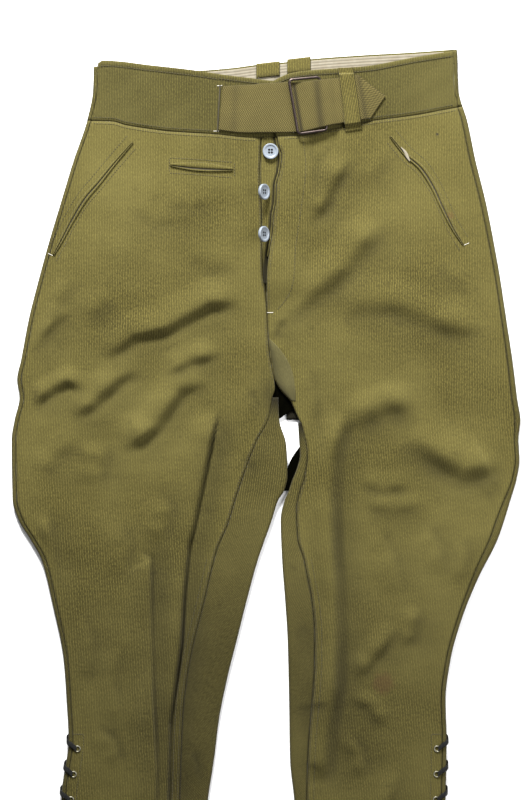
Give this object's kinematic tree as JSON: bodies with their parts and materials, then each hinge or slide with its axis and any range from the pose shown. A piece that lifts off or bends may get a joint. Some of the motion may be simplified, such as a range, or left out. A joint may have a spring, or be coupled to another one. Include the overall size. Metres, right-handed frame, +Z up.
{
  "type": "riding breeches",
  "caption": "Olive cord riding breeches with balloon thighs, a button fly, a web belt and laced calves, laid flat with the front up.",
  "frame": {"origin": "centre of the bounding box's underside, on the surface the garment lies on", "axes": "+Y along the garment towards the waist, +X across it towards the wearer's left, +Z up out of the cloth"},
  "size_m": [0.5609, 0.9897, 0.0217],
  "materials": {
    "cord_cloth": "olive cotton cord with fine vertical ribs, soft sheen",
    "lining": "plain cream cotton",
    "webbing": "olive herringbone webbing",
    "button": "pale blue-grey, satin",
    "buckle": "dark brown japanned steel",
    "lace": "black flat woven lace"
  },
  "bodies": {
    "root": {"front_right": "cord_cloth", "back_right": "cord_cloth", "waistband_front_right": "cord_cloth", "slant_pocket_welt_right": "cord_cloth", "lace_right_1": "lace", "lace_right_2": "lace", "lace_right_3": "lace", "lace_right_4": "lace", "lace_right_5": "lace", "lace_right_6": "lace", "lace_right_7": "lace", "front_left": "cord_cloth", "back_left": "cord_cloth", "waistband_front_left": "cord_cloth", "slant_pocket_welt_left": "cord_cloth", "lace_left_1": "lace", "lace_left_2": "lace", "lace_left_3": "lace", "lace_left_4": "lace", "lace_left_5": "lace", "lace_left_6": "lace", "lace_left_7": "lace", "waistband_back": "cord_cloth", "waistband_lining": "lining", "back_tab_1": "cord_cloth", "back_tab_2": "cord_cloth", "fly_button_stand": "cord_cloth", "fly_facing": "cord_cloth", "watch_pocket_welt": "cord_cloth", "belt_strap": "webbing", "belt_buckle_strap": "webbing", "belt_loop": "cord_cloth", "buckle": "buckle", "button_1": "button", "button_2": "button", "button_3": "button", "button_4": "button"}
  },
  "joints": []
}
